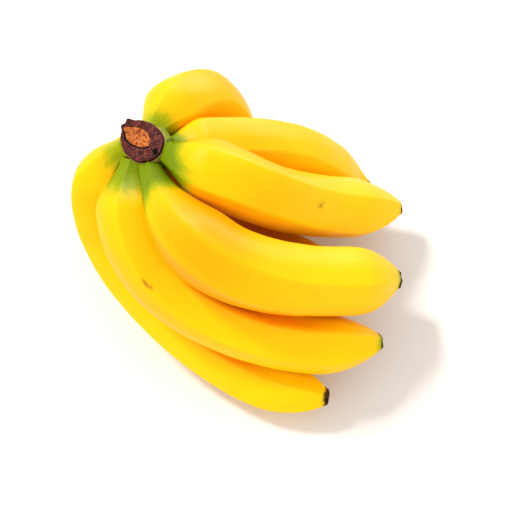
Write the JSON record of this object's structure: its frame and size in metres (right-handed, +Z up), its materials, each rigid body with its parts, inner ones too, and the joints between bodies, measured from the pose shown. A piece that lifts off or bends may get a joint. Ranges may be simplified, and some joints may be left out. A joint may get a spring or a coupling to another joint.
{
  "type": "bunch of bananas",
  "caption": "Cut hand of ripe yellow bananas with green necks, dark tips and a brown cut crown, lying crown uppermost on its lowest fingers.",
  "frame": {"origin": "on the surface the bunch lies on, under the middle of its bounding box", "axes": "+Z up, +X from the crown towards the blossom ends, +Y towards the far side of the fan of fingers"},
  "size_m": [0.1814, 0.177, 0.1221],
  "materials": {
    "peel": "satin",
    "crown_rind": "matte"
  },
  "bodies": {
    "root": {"crown": "crown_rind", "banana_1": "peel", "banana_2": "peel", "banana_3": "peel", "banana_4": "peel", "banana_5": "peel", "banana_6": "peel", "banana_7": "peel"}
  },
  "joints": []
}
